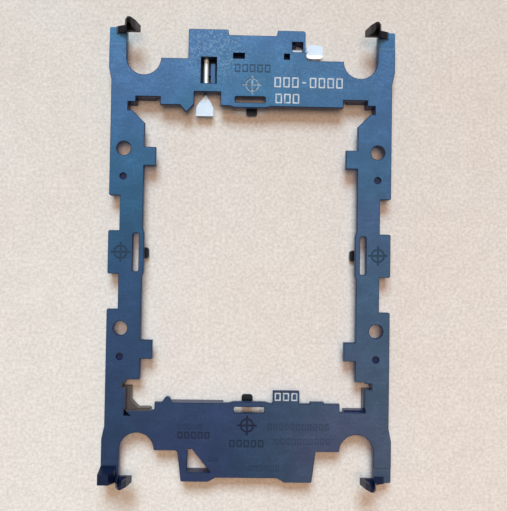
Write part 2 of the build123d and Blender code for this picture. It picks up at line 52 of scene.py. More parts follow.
MM = 0.001
QUARTER_TURN = 90
Point = tuple[float, float]
Limits = tuple[float, float]
Place = tuple[float, float, float]
Colour = tuple[float, float, float]
Material = bpy.types.Material
Tree = bpy.types.NodeTree
Node = bpy.types.Node
Socket = bpy.types.NodeSocket
Value = Union[Socket, float]
Tint = Union[Socket, Colour]


@dataclass(frozen=True)
class ScreenCurve:
    """The standard curve between a screen's values and linear light."""

    white: int = 255
    knee: float = 0.04045
    foot_slope: float = 12.92
    offset: float = 0.055
    power: float = 2.4

    def linear(self, value: int) -> float:
        """Turns one of a screen's values into linear light.

        Args:
            value: the screen's value, 0 to 255.

        Returns:
            The light, 0 to 1.
        """
        share = value / self.white
        if share <= self.knee:
            return share / self.foot_slope
        return ((share + self.offset) / (1.0 + self.offset)) ** self.power


def from_screen(*values: int) -> Colour:
    """The linear colour of a screen's red, green and blue values."""
    return tuple(ScreenCurve().linear(value) for value in values)


class Slot(Enum):
    """Names of material slots."""

    PLASTIC = "carrier_plastic"
    STEEL = "lever_steel"


class Body(Enum):
    """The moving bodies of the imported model."""

    FRAME = "frame"
    LEVER = "lever"


class Relief(Enum):
    """The kinds of mark on the frame, by how far they stand up in millimetres."""

    PRINTED = 0.012
    BOLD = 0.12
    FAINT = 0.06


# Node trees


class Nodes:
    """Short-hand for laying nodes into one tree, left to right."""

    def __init__(self, tree: Tree) -> None:
        """Starts with an empty tree."""
        self.tree = tree
        tree.nodes.clear()

    def add(self, kind: str, **settings: object) -> Node:
        """Adds a node and sets its properties.

        Args:
            kind: the node's type name.
            settings: properties of the node by name.

        Returns:
            The new node.
        """
        node = self.tree.nodes.new(kind)
        for name, value in settings.items():
            setattr(node, name, value)
        return node

    def link(self, source: Socket, target: Socket) -> None:
        """Joins two sockets."""
        self.tree.links.new(source, target)

    def feed(self, value: object, target: Socket) -> None:
        """Links a socket to an input, or sets a plain value on it.

        Args:
            value: the socket or the value.
            target: the input.
        """
        if isinstance(value, Socket):
            self.link(value, target)
        else:
            target.default_value = value

    def place(self, group: Tree, **values: float) -> Node:
        """Places a node group with its own input values.

        Args:
            group: the shared effect.
            values: input values by the inputs' names.

        Returns:
            The group node.
        """
        node = self.add("ShaderNodeGroup", node_tree=group)
        for name, value in values.items():
            node.inputs[name].default_value = value
        return node

    def coordinates(self, kind: str = "Object") -> Socket:
        """The place on the object, or its Normal, in the object's own axes."""
        return self.add("ShaderNodeTexCoord").outputs[kind]

    def split(self, vector: Socket) -> Node:
        """Splits a vector into its axes.

        Args:
            vector: the vector's socket.

        Returns:
            A node with the outputs X, Y and Z.
        """
        node = self.add("ShaderNodeSeparateXYZ")
        self.link(vector, node.inputs[0])
        return node

    def noise(self, coordinates: Socket, cells: float, detail: float) -> Socket:
        """Adds noise.

        Args:
            coordinates: where it is read.
            cells: its cells for each unit of the coordinates.
            detail: how many finer sizes are laid over it.

        Returns:
            The noise, about 0 to 1.
        """
        node = self.add("ShaderNodeTexNoise")
        node.inputs["Scale"].default_value = cells
        node.inputs["Detail"].default_value = detail
        self.link(coordinates, node.inputs["Vector"])
        return node.outputs["Fac"]

    def ramp(self, source: Socket, low: float, high: float) -> Socket:
        """Maps a value between two limits to 0 and 1, smoothly.

        Args:
            source: the value.
            low, high: where the result is 0, and where it is 1.

        Returns:
            The result.
        """
        node = self.add("ShaderNodeMapRange", interpolation_type="SMOOTHSTEP")
        node.inputs["From Min"].default_value = low
        node.inputs["From Max"].default_value = high
        self.link(source, node.inputs["Value"])
        return node.outputs["Result"]

    def maths(self, operation: str, first: Value, second: Optional[Value] = None) -> Socket:
        """A Math node on sockets or plain numbers.

        Args:
            operation: the Math node's operation.
            first: a socket or a number.
            second: the same, for an operation that takes two.

        Returns:
            The node's output socket.
        """
        node = self.add("ShaderNodeMath", operation=operation)
        self.feed(first, node.inputs[0])
        if second is not None:
            self.feed(second, node.inputs[1])
        return node.outputs[0]

    def product(self, first: Value, second: Value) -> Socket:
        """Multiplies two values."""
        return self.maths("MULTIPLY", first, second)

    def total(self, first: Value, second: Value) -> Socket:
        """Adds two values."""
        return self.maths("ADD", first, second)

    def between(self, value: Socket, low: float, high: float) -> Socket:
        """A mask that is 1 where a value lies between two limits."""
        return self.product(self.maths("GREATER_THAN", value, low), self.maths("LESS_THAN", value, high))

    def scaled(self, vector: Socket, share: Value) -> Socket:
        """A vector or colour times a number.

        Args:
            vector: the vector or colour.
            share: the number, or its socket.

        Returns:
            The scaled vector.
        """
        node = self.add("ShaderNodeVectorMath", operation="SCALE")
        self.link(vector, node.inputs[0])
        self.feed(share, node.inputs["Scale"])
        return node.outputs[0]

    def stretched(self, vector: Socket, shares: Socket) -> Socket:
        """A vector or colour times another, axis by axis.

        Args:
            vector: the vector or colour.
            shares: the other one.

        Returns:
            Their product.
        """
        node = self.add("ShaderNodeVectorMath", operation="MULTIPLY")
        self.link(vector, node.inputs[0])
        self.link(shares, node.inputs[1])
        return node.outputs[0]

    def blend(self, share: Socket, first: Tint, second: Tint) -> Socket:
        """Mixes two colours, given as sockets or values.

        Args:
            share: the second one's share, which changes over the surface.
            first, second: the colours.

        Returns:
            The mixed colour.
        """
        node = self.add("ShaderNodeMix", data_type="RGBA")
        self.link(share, node.inputs["Factor"])
        pair = [socket for socket in node.inputs if socket.type == "RGBA"]
        for target, tint in zip(pair, (first, second)):
            self.feed(tint if isinstance(tint, Socket) else (*tint, 1.0), target)
        return next(socket for socket in node.outputs if socket.type == "RGBA")


def new_group(name: str, inputs: Sequence[str], outputs: Sequence[str]) -> tuple[Nodes, dict, dict]:
    """Starts a shader node group of float sockets.

    Args:
        name: the group's name.
        inputs: the inputs' names.
        outputs: the outputs' names.

    Returns:
        The tree's Nodes, its input sockets by name and its output sockets by name.
    """
    tree = bpy.data.node_groups.new(name, "ShaderNodeTree")
    for direction, labels in (("INPUT", inputs), ("OUTPUT", outputs)):
        for label in labels:
            tree.interface.new_socket(label, in_out=direction, socket_type="NodeSocketFloat")
    nodes = Nodes(tree)
    start = nodes.add("NodeGroupInput")
    end = nodes.add("NodeGroupOutput")
    sources = {label: start.outputs[label] for label in inputs}
    targets = {label: end.inputs[label] for label in outputs}
    return nodes, sources, targets


@dataclass(frozen=True)
class FineGrain:
    """Fine eroded grain of a mould's surface: a height and a tone. Cells are counted per metre."""

    fine_cells: float = 5200.0
    fine_detail: float = 2.0
    coarse_cells: float = 1500.0
    coarse_detail: float = 3.0
    fine_share: float = 0.6
    speck_limits: Limits = (0.56, 0.72)
    tone_share: float = 0.5

    def build(self) -> Tree:
        """Builds the group.

        Returns:
            A group with the inputs Scale and Speckle, and the outputs Height and Tone.
        """
        nodes, given, out = new_group("fine_grain", ["Scale", "Speckle"], ["Height", "Tone"])
        place = nodes.scaled(nodes.coordinates(), given["Scale"])
        fine = nodes.noise(place, self.fine_cells, self.fine_detail)
        coarse = nodes.noise(place, self.coarse_cells, self.coarse_detail)
        height = nodes.total(nodes.product(fine, self.fine_share),
                             nodes.product(coarse, 1.0 - self.fine_share))
        nodes.link(height, out["Height"])
        sparkle = nodes.product(nodes.ramp(fine, *self.speck_limits), given["Speckle"])
        nodes.link(nodes.total(nodes.product(coarse, self.tone_share), sparkle), out["Tone"])
        return nodes.tree


@dataclass(frozen=True)
class SlowDrift:
    """Slow drift of tone over a surface, in two sizes. Cells are counted over a length of Size."""

    broad_cells: float = 1.0
    broad_detail: float = 2.0
    local_cells: float = 6.0
    local_detail: float = 4.0

    def build(self) -> Tree:
        """Builds the group.

        Returns:
            A group with the input Size, in metres, and the outputs Broad and Local.
        """
        nodes, given, out = new_group("slow_drift", ["Size"], ["Broad", "Local"])
        place = nodes.scaled(nodes.coordinates(), nodes.maths("DIVIDE", 1.0, given["Size"]))
        nodes.link(nodes.noise(place, self.broad_cells, self.broad_detail), out["Broad"])
        nodes.link(nodes.noise(place, self.local_cells, self.local_detail), out["Local"])
        return nodes.tree


@dataclass(frozen=True)
class RubbedLines:
    """Hair-fine rubbed lines along X. The group's Along and Across are cells per metre."""

    detail: float = 2.0
    line_limits: Limits = (0.5, 0.75)

    def build(self) -> Tree:
        """Builds the group.

        Returns:
            A group with the inputs Along, Across and Amount, and the output Mask.
        """
        nodes, given, out = new_group("rubbed_lines", ["Along", "Across", "Amount"], ["Mask"])
        stretch = nodes.add("ShaderNodeCombineXYZ")
        for axis, cells in zip("XYZ", ("Along", "Across", "Across")):
            nodes.link(given[cells], stretch.inputs[axis])
        drawn = nodes.stretched(nodes.coordinates(), stretch.outputs[0])
        lines = nodes.ramp(nodes.noise(drawn, 1.0, self.detail), *self.line_limits)
        nodes.link(nodes.product(lines, given["Amount"]), out["Mask"])
        return nodes.tree


@dataclass(frozen=True)
class SharedEffects:
    """The node groups that more than one finish uses, built once."""

    grain: Tree = field(default_factory=lambda: FineGrain().build())
    drift: Tree = field(default_factory=lambda: SlowDrift().build())
    lines: Tree = field(default_factory=lambda: RubbedLines().build())


# Finishes


def new_material(name: str) -> tuple[Material, Nodes, Node, Node]:
    """Starts a material with one Principled shader.

    Args:
        name: the material's name.

    Returns:
        The material, its Nodes, its Principled node and its output node.
    """
    material = bpy.data.materials.new(name)
    material.use_nodes = True
    nodes = Nodes(material.node_tree)
    shader = nodes.add("ShaderNodeBsdfPrincipled")
    output = nodes.add("ShaderNodeOutputMaterial")
    nodes.link(shader.outputs["BSDF"], output.inputs["Surface"])
    return material, nodes, shader, output


def add_bump(nodes: Nodes, shader: Node, height: Socket, depth: float, strength: float = 1.0) -> None:
    """Feeds a height into the shader's normal.

    Args:
        nodes: the material's Nodes.
        shader: the Principled node.
        height: the height, 0 to 1.
        depth: the depth of the relief, in metres.
        strength: how strongly it shows.
    """
    bump = nodes.add("ShaderNodeBump")
    bump.inputs["Strength"].default_value = strength
    bump.inputs["Distance"].default_value = depth
    nodes.link(height, bump.inputs["Height"])
    nodes.link(bump.outputs["Normal"], shader.inputs["Normal"])


@dataclass(frozen=True)
class Surface:
    """A plastic surface under way: its tree, where a point lies on the part, and its grain there."""

    nodes: Nodes
    effects: SharedEffects
    across: Socket
    along: Socket
    height: Socket
    level: Socket
    grain: Node


@dataclass(frozen=True)
class SatinPlastic:
    """Moulded plastic: eroded satin on its upper face, less rough on walls, with painted light.

    Every tone is placed by where it is on the part and by which way the surface faces there.
    The painted light is painted sheen at the lever's end, and painted shade at the far end, on
    walls, in hollows, on the standing hooks and on the snap heads, with painted glints and highlights.
    """

    name: str
    # Upper face tones at the far end, the middle and the lever's end: painted shade towards the far end,
    # painted sheen towards the lever's end and on the right side
    left_painted_tones: tuple[Colour, Colour, Colour]
    right_painted_tones: tuple[Colour, Colour, Colour]
    # Engraved marks: painted shade at the far end, painted highlight at the lever's end
    groove_shade_and_highlight_tones: tuple[Colour, Colour, Colour]
    # Far corner bays, left and right: painted shade, warm like the shaded table on the left
    corner_shade_tones: tuple[Colour, Colour]
    # Standing hooks: painted shade, navy at the far end, brown with a painted reflection of the table at
    # the lever's end
    hook_shade_tones: tuple[Colour, Colour]
    # Sunk floors and walls: painted shade, darker than the satin face
    sunk_floor_shade: Colour
    wall: Colour
    underside: Colour
    keeper: Colour
    # Painted highlight: the colour of the painted glints and of the arms' painted step highlight
    painted_highlight: Colour
    # Snap heads' tops: painted shade, near black
    snap_head_shade: Colour

    # Gloss and relief
    satin_roughness: float = 0.44
    smooth_roughness: float = 0.36
    roughness_drop: float = 0.03
    grain_roughness: float = 0.12
    gloss: float = 0.22
    gloss_tint: Colour = (0.6, 0.8, 1.0)
    grain_depth: float = 0.016 * MM
    smooth_relief: float = 0.06
    frosted_relief: float = 2.0

    # Mottle, flow lines and drift of hue
    speckle: float = 0.3
    drift_size: float = 30.0 * MM
    flow_along: float = 150.0
    flow_across: float = 1100.0
    flow_amount: float = 0.06
    hue_limits: Limits = (0.35, 0.65)
    warm_hue: Colour = (1.12, 0.97, 1.04)
    cool_hue: Colour = (0.88, 1.03, 0.97)
    mottle_share: float = 0.4
    mottle_limits: Limits = (0.27, 0.66)
    mottle_swing: Limits = (0.72, 1.28)
    # Painted sheen and shade: where the upper face's tones change across and along the frame
    side_painted_sheen: Limits = (-10.0 * MM, 35.0 * MM)
    lower_painted_shade: Limits = (-65.0 * MM, 30.0 * MM)
    upper_painted_sheen: Limits = (0.0, 65.0 * MM)

    # Coarser grain round the lever's slot and over the upper crossbar, with painted glints on it
    frosted_middle: Point = (-10.5 * MM, 55.0 * MM)
    frosted_radius: float = 14.0 * MM
    frosted_fade: Limits = (1.0, 0.3)
    bar_fade: Limits = (36.0 * MM, 50.0 * MM)
    bar_share: float = 0.3
    glint_scale: float = 0.75
    glint_limits: Limits = (0.49, 0.64)
    glint_share: float = 0.42

    # Which way a face looks, by the upward share of its normal
    level_slope: Limits = (0.8, 0.97)
    turned_slope: Limits = (-0.3, -0.8)

    # Heights of the faces
    snap_head_top: float = 1.5 * MM
    bay_floor: float = 0.3 * MM
    groove_low: float = 4.8 * MM
    plate_low: float = 5.03 * MM
    plate_high: float = 5.45 * MM
    arm_rise: Limits = (4.7 * MM, 4.8 * MM)
    soft_edge: float = 0.1 * MM

    # Places in plan
    arm_step: float = 55.6 * MM
    # A painted highlight along the arms' step
    step_edge: Limits = (55.25 * MM, 55.6 * MM)
    step_edge_from: float = 31.0 * MM
    step_edge_share: float = 0.1
    # Far corner bays whose low faces take painted shade
    left_bay: tuple[Limits, Limits] = ((-33.5 * MM, -25.5 * MM), (-42.0 * MM, -33.0 * MM))
    right_bay: tuple[Limits, Limits] = ((25.5 * MM, 33.5 * MM), (-40.5 * MM, -33.0 * MM))
    keeper_across: Limits = (-11.15 * MM, -9.8 * MM)
    keeper_along: Limits = (45.2 * MM, 51.2 * MM)
    # Engraved marks turn from painted shade to painted highlight along the frame; the grain breaks up the
    # highlight
    lower_marks: Limits = (-30.0 * MM, -15.0 * MM)
    upper_marks: Limits = (20.0 * MM, 30.0 * MM)
    wear_and_glint_limits: Limits = (0.1, 0.4)

    def build(self, effects: SharedEffects) -> Material:
        """Makes the material.

        Args:
            effects: the shared node groups.

        Returns:
            The finished material.
        """
        material, nodes, shader, _ = new_material(self.name)
        grain = nodes.place(effects.grain, Scale=1.0, Speckle=self.speckle)
        axes = nodes.split(nodes.coordinates())
        upward = nodes.split(nodes.coordinates("Normal")).outputs["Z"]
        level = nodes.ramp(upward, *self.level_slope)
        surface = Surface(nodes, effects, *(axes.outputs[axis] for axis in "XYZ"), level, grain)
        satin = self.satin_face(surface)
        coarse_grain_and_glint = self.coarse_grain_and_glint_patch(surface)
        # Painted glints on the coarse grain, then a painted highlight along the arms' step
        face = self.painted_glint_tone(surface, coarse_grain_and_glint, self.mottled_tone(surface))
        face = nodes.blend(self.painted_step_highlight(surface), face, self.painted_highlight)
        # Painted shade: sunk floors and walls are darker than the satin face, and the snap heads' tops
        # near black
        head = nodes.maths("LESS_THAN", surface.height, self.snap_head_top)
        floors = nodes.blend(head, self.sunk_floor_shade, self.snap_head_shade)
        turned = nodes.ramp(upward, *self.turned_slope)
        sides = nodes.blend(turned, nodes.blend(level, self.wall, floors), self.underside)
        nodes.link(nodes.blend(satin, self.sunk_tone(surface, sides), face), shader.inputs["Base Color"])
        step = nodes.product(satin, self.satin_roughness - self.smooth_roughness)
        plain = nodes.total(self.smooth_roughness - self.roughness_drop, step)
        uneven = nodes.product(grain.outputs["Tone"], self.grain_roughness)
        nodes.link(nodes.total(plain, uneven), shader.inputs["Roughness"])
        shader.inputs["Specular IOR Level"].default_value = self.gloss
        shader.inputs["Specular Tint"].default_value = (*self.gloss_tint, 1.0)
        relief = nodes.total(nodes.product(satin, 1.0 - self.smooth_relief), self.smooth_relief)
        coarse = nodes.product(relief, nodes.total(nodes.product(coarse_grain_and_glint, self.frosted_relief), 1.0))
        add_bump(nodes, shader, nodes.product(grain.outputs["Height"], coarse), self.grain_depth)
        return material

    def satin_face(self, surface: Surface) -> Socket:
        """Mask of the textured faces: the plate's level top and the stepped ends of the arms.

        Args:
            surface: the surface under way.

        Returns:
            A value that is 1 on the satin faces and 0 on walls, chamfers and sunk floors.
        """
        nodes = surface.nodes
        above = nodes.ramp(surface.height, self.plate_low, self.plate_low + self.soft_edge)
        length = nodes.maths("ABSOLUTE", surface.along)
        arm_end = nodes.ramp(length, self.arm_step, self.arm_step + self.soft_edge)
        raised = nodes.product(arm_end, nodes.ramp(surface.height, *self.arm_rise))
        high = nodes.maths("MAXIMUM", above, raised)
        below = nodes.maths("LESS_THAN", surface.height, self.plate_high)
        return nodes.product(nodes.product(surface.level, high), below)

    def coarse_grain_and_glint_patch(self, surface: Surface) -> Socket:
        """Mask of the coarser grain and of its painted glints: strong round the lever's slot, faint over
        the upper crossbar.

        Args:
            surface: the surface under way.

        Returns:
            A value from 0, fine grain, to 1, coarse.
        """
        nodes = surface.nodes
        across, along = (nodes.maths("SUBTRACT", place, middle)
                         for place, middle in zip((surface.across, surface.along), self.frosted_middle))
        square = nodes.total(nodes.product(across, across), nodes.product(along, along))
        away = nodes.maths("DIVIDE", nodes.maths("SQRT", square), self.frosted_radius)
        patch = nodes.ramp(away, *self.frosted_fade)
        bar = nodes.ramp(surface.along, *self.bar_fade)
        return nodes.maths("MAXIMUM", patch, nodes.product(bar, self.bar_share))

    def painted_step_highlight(self, surface: Surface) -> Socket:
        """Mask of a painted highlight along the edge where the arms at the lever's end step down.

        Args:
            surface: the surface under way.

        Returns:
            The share of the painted highlight's colour.
        """
        nodes = surface.nodes
        arms = nodes.maths("GREATER_THAN", nodes.maths("ABSOLUTE", surface.across), self.step_edge_from)
        edge = nodes.product(arms, nodes.between(surface.along, *self.step_edge))
        return nodes.product(edge, self.step_edge_share)

    def painted_sheen_tint(self, surface: Surface) -> Socket:
        """The plastic's colour along the frame, painted: painted sheen lightens it at the lever's end
        and on the right side, and painted shade darkens it at the far end.

        Args:
            surface: the surface under way.

        Returns:
            The colour before its mottle.
        """
        nodes = surface.nodes
        side = nodes.ramp(surface.across, *self.side_painted_sheen)
        lower = nodes.ramp(surface.along, *self.lower_painted_shade)
        upper = nodes.ramp(surface.along, *self.upper_painted_sheen)
        far, middle, near = (nodes.blend(side, *pair) for pair in zip(self.left_painted_tones, self.right_painted_tones))
        return nodes.blend(upper, nodes.blend(lower, far, middle), near)

    def mottled_tone(self, surface: Surface) -> Socket:
        """The satin face's colour with its mottle, its flow lines and its slow drift of hue.

        Args:
            surface: the surface under way.

        Returns:
            The colour.
        """
        nodes = surface.nodes
        drift = nodes.place(surface.effects.drift, Size=self.drift_size)
        flow = nodes.place(surface.effects.lines, Along=self.flow_along, Across=self.flow_across,
                           Amount=self.flow_amount)
        hue = nodes.ramp(drift.outputs["Broad"], *self.hue_limits)
        # The painted sheen and shade along the frame, tinted by the slow drift of hue
        tinted = nodes.stretched(self.painted_sheen_tint(surface),
                                 nodes.blend(hue, self.warm_hue, self.cool_hue))
        mottle = nodes.total(nodes.product(drift.outputs["Local"], self.mottle_share),
                             nodes.product(surface.grain.outputs["Tone"], 1.0 - self.mottle_share))
        tone = nodes.ramp(nodes.total(mottle, flow.outputs["Mask"]), *self.mottle_limits)
        dim, lit = (nodes.scaled(tinted, share) for share in self.mottle_swing)
        return nodes.blend(tone, dim, lit)

    def painted_glint_tone(self, surface: Surface, coarse_grain_and_glint: Socket, face: Socket) -> Socket:
        """The face's colour with painted glints: bright specks where the grain is coarse.

        Args:
            surface: the surface under way.
            coarse_grain_and_glint: how coarse the grain is, 0 to 1, which sets the share of painted
                glints.
            face: the colour without specks.

        Returns:
            The colour with specks.
        """
        nodes = surface.nodes
        specks = nodes.place(surface.effects.grain, Scale=self.glint_scale)
        glint = nodes.ramp(specks.outputs["Height"], *self.glint_limits)
        share = nodes.product(nodes.product(glint, coarse_grain_and_glint), self.glint_share)
        return nodes.blend(share, face, self.painted_highlight)

    def sunk_tone(self, surface: Surface, sides: Socket) -> Socket:
        """The painted light and shade of engraved marks, far corners and standing hooks, and the keeper's
        tone, over the sides.

        Args:
            surface: the surface under way.
            sides: the colour of the walls, the sunk floors and the underside.

        Returns:
            The colour.
        """
        nodes, across, along, height = surface.nodes, surface.across, surface.along, surface.height
        # Engraved marks: painted shade on the lower ones, a painted highlight broken up by the grain on
        # the upper ones
        far, middle, near = self.groove_shade_and_highlight_tones
        wear_and_glint = nodes.blend(nodes.ramp(surface.grain.outputs["Tone"], *self.wear_and_glint_limits), middle, near)
        lower = nodes.blend(nodes.ramp(along, *self.lower_marks), far, middle)
        marks = nodes.blend(nodes.ramp(along, *self.upper_marks), lower, wear_and_glint)
        # Low faces of the far corner bays: painted shade, in the shaded table's warm tone
        for (width, length), corner in zip((self.left_bay, self.right_bay), self.corner_shade_tones):
            plan = nodes.product(nodes.between(across, *width), nodes.between(along, *length))
            low = nodes.between(height, self.bay_floor, self.plate_high)
            sides = nodes.blend(nodes.product(plan, low), sides, corner)
        shallow = nodes.maths("GREATER_THAN", height, self.groove_low)
        tone = nodes.blend(nodes.product(shallow, surface.level), sides, marks)
        # Standing hooks and key block: painted shade, navy at the far end, brown with a painted
        # reflection of the table at the lever's end
        hooks = nodes.blend(nodes.maths("GREATER_THAN", along, 0.0), *self.hook_shade_tones)
        tone = nodes.blend(nodes.maths("GREATER_THAN", height, self.plate_high), tone, hooks)
        # The keeper's top: a tone near the satin face's, without the sunk floors' painted shade
        strip = nodes.product(nodes.between(across, *self.keeper_across),
                              nodes.between(along, *self.keeper_along))
        return nodes.blend(nodes.product(strip, surface.level), tone, self.keeper)


@dataclass(frozen=True)
class SpringSteel:
    """Bright bare spring wire, rubbed in fine lines, with a painted highlight on its shaft and painted
    shade at its neck.
    """

    name: str
    colour: Colour
    # Painted highlight on the shaft in the lever's slot
    shaft_highlight: Colour
    # Painted shade at the neck, under the plate's edge
    neck: Colour = (0.06, 0.045, 0.045)
    metal_share: float = 0.6
    roughness: float = 0.55
    drift_roughness: float = 0.12
    line_roughness: float = 0.1
    drift_size: float = 10.0 * MM
    lines_along: float = 90.0
    lines_across: float = 2600.0
    lines_amount: float = 0.5
    line_dulling: float = 0.86
    line_depth: float = 0.004 * MM
    line_strength: float = 0.6
    shaft_highlight_along: Limits = (44.6 * MM, 54.0 * MM)
    neck_along: Limits = (42.5 * MM, 44.6 * MM)

    def build(self, effects: SharedEffects) -> Material:
        """Makes the material.

        Args:
            effects: the shared node groups.

        Returns:
            The finished material.
        """
        material, nodes, shader, _ = new_material(self.name)
        placed = nodes.place(effects.lines, Along=self.lines_along, Across=self.lines_across,
                             Amount=self.lines_amount)
        lines = placed.outputs["Mask"]
        drift = nodes.place(effects.drift, Size=self.drift_size)
        shader.inputs["Metallic"].default_value = self.metal_share
        dull = tuple(value * self.line_dulling for value in self.colour)
        along = nodes.split(nodes.coordinates()).outputs["Y"]
        # Painted highlight on the shaft
        wire = nodes.blend(nodes.between(along, *self.shaft_highlight_along), self.colour, self.shaft_highlight)
        # Painted shade at the neck
        wire = nodes.blend(nodes.between(along, *self.neck_along), wire, self.neck)
        nodes.link(nodes.blend(lines, wire, dull), shader.inputs["Base Color"])
        rough = nodes.total(self.roughness, nodes.product(drift.outputs["Local"], self.drift_roughness))
        rough = nodes.total(rough, nodes.product(lines, self.line_roughness))
        nodes.link(rough, shader.inputs["Roughness"])
        add_bump(nodes, shader, lines, self.line_depth, self.line_strength)
        return material


@dataclass(frozen=True)
class PaleInk:
    """Thin pale ink, printed by pad and slightly uneven, so that the plastic shows through it."""

    name: str
    colour: Colour
    plastic: Colour
    grain_scale: float = 0.8
    speckle: float = 0.4
    wear_and_glint_limits: Limits = (0.08, 0.32)
    roughness: float = 0.5
    grain_roughness: float = 0.2
    depth: float = 0.008 * MM

    def build(self, effects: SharedEffects) -> Material:
        """Makes the material.

        Args:
            effects: the shared node groups.

        Returns:
            The finished material.
        """
        material, nodes, shader, _ = new_material(self.name)
        grain = nodes.place(effects.grain, Scale=self.grain_scale, Speckle=self.speckle)
        tone = grain.outputs["Tone"]
        wear_and_glint = nodes.ramp(tone, *self.wear_and_glint_limits)
        nodes.link(nodes.blend(wear_and_glint, self.plastic, self.colour), shader.inputs["Base Color"])
        rough = nodes.total(self.roughness, nodes.product(tone, self.grain_roughness))
        nodes.link(rough, shader.inputs["Roughness"])
        add_bump(nodes, shader, grain.outputs["Height"], self.depth)
        return material


@dataclass(frozen=True)
class TableCloth:
    """Plain pale table covering with a faint fibre, slow warm and cool drift, and painted light that
    makes it brighter towards -Y.

    From below it is clear, and it lets the lower lamp through, so that the part's lower side
    can be looked at.
    """

    name: str
    warm: Colour
    cool: Colour
    half_width: float = 75.0 * MM
    half_length: float = 90.0 * MM
    drift_size: float = 30.0 * MM
    patch_limits: Limits = (0.3, 0.7)
    patch_share: float = 0.3
    fibre_scale: float = 0.8
    fibre_speckle: float = 0.35
    thread_drift: float = 0.12
    thread_limits: Limits = (0.18, 0.5)
    contrast: float = 0.16
    thread_gain: float = 1.7
    painted_light_rise: float = 0.15
    roughness: float = 0.85
    gloss: float = 0.2
    fibre_depth: float = 0.05 * MM
    fibre_strength: float = 0.7

    def build(self, effects: SharedEffects) -> Material:
        """Makes the material.

        Args:
            effects: the shared node groups.

        Returns:
            The finished material.
        """
        material, nodes, shader, output = new_material(self.name)
        fibre = nodes.place(effects.grain, Scale=self.fibre_scale, Speckle=self.fibre_speckle)
        drift = nodes.place(effects.drift, Size=self.drift_size)
        axes = nodes.split(nodes.coordinates())
        across = nodes.ramp(axes.outputs["X"], -self.half_width, self.half_width)
        patch = nodes.ramp(drift.outputs["Broad"], *self.patch_limits)
        share = nodes.total(nodes.product(across, 1.0 - self.patch_share),
                            nodes.product(patch, self.patch_share))
        slow = nodes.blend(share, self.cool, self.warm)
        uneven = nodes.total(nodes.product(drift.outputs["Local"], self.thread_drift),
                             fibre.outputs["Tone"])
        thread = nodes.product(nodes.ramp(uneven, *self.thread_limits), self.thread_gain * self.contrast)
        # Painted light: the cloth is painted up to 15% brighter towards -Y
        along = nodes.ramp(axes.outputs["Y"], self.half_length, -self.half_length)
        painted_light_factor = nodes.total(1.0, nodes.product(along, self.painted_light_rise))
        woven = nodes.scaled(slow, nodes.product(nodes.total(1.0 - self.contrast, thread), painted_light_factor))
        nodes.link(woven, shader.inputs["Base Color"])
        shader.inputs["Roughness"].default_value = self.roughness
        shader.inputs["Specular IOR Level"].default_value = self.gloss
        add_bump(nodes, shader, fibre.outputs["Height"], self.fibre_depth, self.fibre_strength)
        clear = nodes.add("ShaderNodeBsdfTransparent")
        below = nodes.add("ShaderNodeNewGeometry")
        ray = nodes.add("ShaderNodeLightPath")
        choice = nodes.add("ShaderNodeMixShader")
        opened = nodes.maths("MAXIMUM", below.outputs["Backfacing"], ray.outputs["Is Shadow Ray"])
        for source, target in zip((opened, shader.outputs["BSDF"], clear.outputs["BSDF"]), choice.inputs):
            nodes.link(source, target)
        nodes.link(choice.outputs[0], output.inputs["Surface"])
        return material


